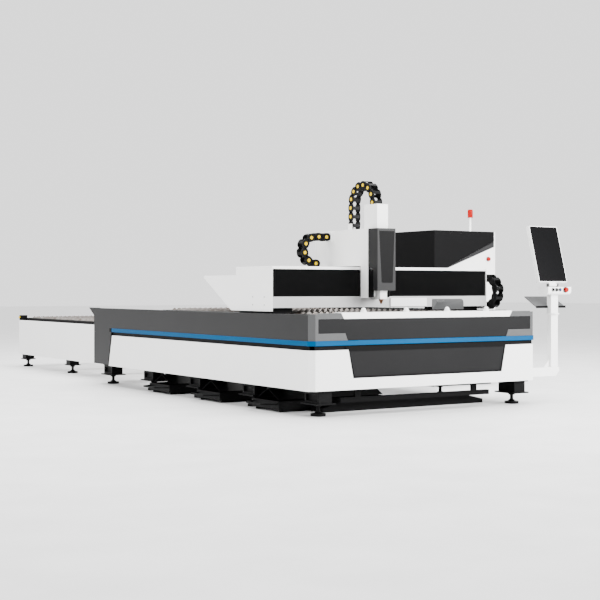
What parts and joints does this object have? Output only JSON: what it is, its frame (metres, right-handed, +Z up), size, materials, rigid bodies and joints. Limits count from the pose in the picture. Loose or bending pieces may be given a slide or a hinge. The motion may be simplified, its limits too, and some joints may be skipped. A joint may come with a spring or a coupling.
{
  "type": "fiber laser cutting machine",
  "caption": "Fiber laser sheet cutter: open bed with travelling gantry and cutting head, exchange table, power cabinet and operator console.",
  "frame": {"origin": "on the floor, under the middle of the whole machine's bounding box", "axes": "+Y along the bed from its front to the exchange table, +X to the console and cabinet side, +Z up"},
  "size_m": [3.89, 7.956, 2.0549],
  "materials": {
    "dark_steel": "satin",
    "black_steel": "satin",
    "gray_paint": "satin",
    "light_gray_paint": "satin",
    "white_paint": "satin",
    "blue_paint": "gloss",
    "bright_steel": "ground",
    "bellows_cloth": "matt",
    "chain_plastic": "matt",
    "screen_plastic": "gloss",
    "red_plastic": "gloss",
    "black_plastic": "matt",
    "blue_plastic": "gloss",
    "head_metal": "satin"
  },
  "bodies": {
    "base": {"access_panel": "gray_paint", "beacon": "red_plastic", "bed_frame": "dark_steel", "blue_stripe": "blue_paint", "cabinet_case": "white_paint", "cabinet_panels": "dark_steel", "console_arm": "white_paint", "foot_brackets": "black_steel", "front_fascia": "gray_paint", "front_frame": "light_gray_paint", "front_ledge": "white_paint", "inner_pallet_frame": "dark_steel", "inner_pallet_slats": "bright_steel", "levelling_feet": "black_steel", "rolling_track": "dark_steel", "scrap_hoppers": "black_steel", "side_panels": "gray_paint", "skirts": "white_paint", "stripe_recess": "dark_steel", "table_frame": "dark_steel", "table_panels": "white_paint", "y_chain_lower": "chain_plastic", "y_guides": "bright_steel"},
    "gantry": {"gantry_beam": "dark_steel", "y_drives": "black_steel", "gantry_top_cover": "white_paint", "gantry_end_covers": "white_paint", "gantry_front_cover": "light_gray_paint", "x_guides": "bright_steel", "bellows_left": "bellows_cloth", "bellows_right": "bellows_cloth", "x_chain_lower": "chain_plastic", "y_chain_loop": "chain_plastic"},
    "carriage": {"carriage_housing": "white_paint", "carriage_casting": "head_metal", "carriage_motors": "black_steel", "z_guard": "black_plastic", "x_chain_loop": "chain_plastic", "z_chain": "chain_plastic"},
    "z_slide": {"z_plate": "head_metal", "head_cover": "gray_paint", "z_crown": "white_paint", "cutting_head": "head_metal"},
    "shuttle_pallet": {"shuttle_pallet_frame": "dark_steel", "shuttle_pallet_slats": "bright_steel", "shuttle_wheels": "bright_steel"},
    "pan": {"scrap_pan": "dark_steel"},
    "drawer_1": {"scrap_drawer_1": "black_steel"},
    "drawer_2": {"scrap_drawer_2": "black_steel"},
    "drawer_3": {"scrap_drawer_3": "black_steel"},
    "door_front": {"cabinet_door_front": "dark_steel"},
    "door_rear": {"cabinet_door_rear": "dark_steel"},
    "cabinet_stop": {"cabinet_stop_button": "red_plastic"},
    "console_head": {"control_box": "white_paint", "keyboard_tray": "light_gray_paint"},
    "screen": {"screen": "screen_plastic"},
    "console_stop": {"console_stop_button": "red_plastic"},
    "button_1": {"console_button_1": "black_plastic"},
    "button_2": {"console_button_2": "black_plastic"},
    "button_3": {"console_button_3": "blue_plastic"}
  },
  "joints": [
    {"name": "gantry_travel", "type": "slide", "parent": "base", "child": "gantry", "axis": [0, 1, 0], "range_m": [-0.05, 3]},
    {"name": "carriage_travel", "type": "slide", "parent": "gantry", "child": "carriage", "axis": [1, 0, 0], "range_m": [-0.57, 0.9], "deforming": ["bellows_left", "bellows_right"]},
    {"name": "z_travel", "type": "slide", "parent": "carriage", "child": "z_slide", "axis": [0, 0, 1], "range_m": [-0.05, 0.07], "deforming": ["z_chain"]},
    {"name": "pallet_exchange", "type": "slide", "parent": "base", "child": "shuttle_pallet", "axis": [0, 1, 0], "range_m": [-4.25, 0]},
    {"name": "pan_pull", "type": "slide", "parent": "base", "child": "pan", "axis": [0, -1, 0], "range_m": [0, 0.9]},
    {"name": "drawer_1_pull", "type": "slide", "parent": "base", "child": "drawer_1", "axis": [-1, 0, 0], "range_m": [0, 0.8]},
    {"name": "drawer_2_pull", "type": "slide", "parent": "base", "child": "drawer_2", "axis": [-1, 0, 0], "range_m": [0, 0.8]},
    {"name": "drawer_3_pull", "type": "slide", "parent": "base", "child": "drawer_3", "axis": [-1, 0, 0], "range_m": [0, 0.8]},
    {"name": "door_front_swing", "type": "hinge", "parent": "base", "child": "door_front", "pos_m": [1.915, -1.971, 0.9], "axis": [0, 0, -1], "range_deg": [0, 110]},
    {"name": "door_rear_swing", "type": "hinge", "parent": "base", "child": "door_rear", "pos_m": [1.915, -0.073, 0.9], "axis": [0, 0, 1], "range_deg": [0, 110]},
    {"name": "console_swivel", "type": "hinge", "parent": "base", "child": "console_head", "pos_m": [1.045, -3.772, 0.83], "axis": [0, 0, 1], "range_deg": [-45, 45]},
    {"name": "screen_tilt", "type": "hinge", "parent": "console_head", "child": "screen", "pos_m": [1.045, -3.772, 1.104], "axis": [1, 0, 0], "range_deg": [-10, 15]},
    {"name": "cabinet_stop_press", "type": "slide", "parent": "base", "child": "cabinet_stop", "axis": [0, 1, 0], "range_m": [0, 0.005], "stiffness_N_per_m": 1500},
    {"name": "console_stop_press", "type": "slide", "parent": "console_head", "child": "console_stop", "axis": [0, 1, 0], "range_m": [0, 0.005], "stiffness_N_per_m": 1500},
    {"name": "button_1_press", "type": "slide", "parent": "console_head", "child": "button_1", "axis": [0, 1, 0], "range_m": [0, 0.003], "stiffness_N_per_m": 800},
    {"name": "button_2_press", "type": "slide", "parent": "console_head", "child": "button_2", "axis": [0, 1, 0], "range_m": [0, 0.003], "stiffness_N_per_m": 800},
    {"name": "button_3_press", "type": "slide", "parent": "console_head", "child": "button_3", "axis": [0, 1, 0], "range_m": [0, 0.003], "stiffness_N_per_m": 800}
  ]
}
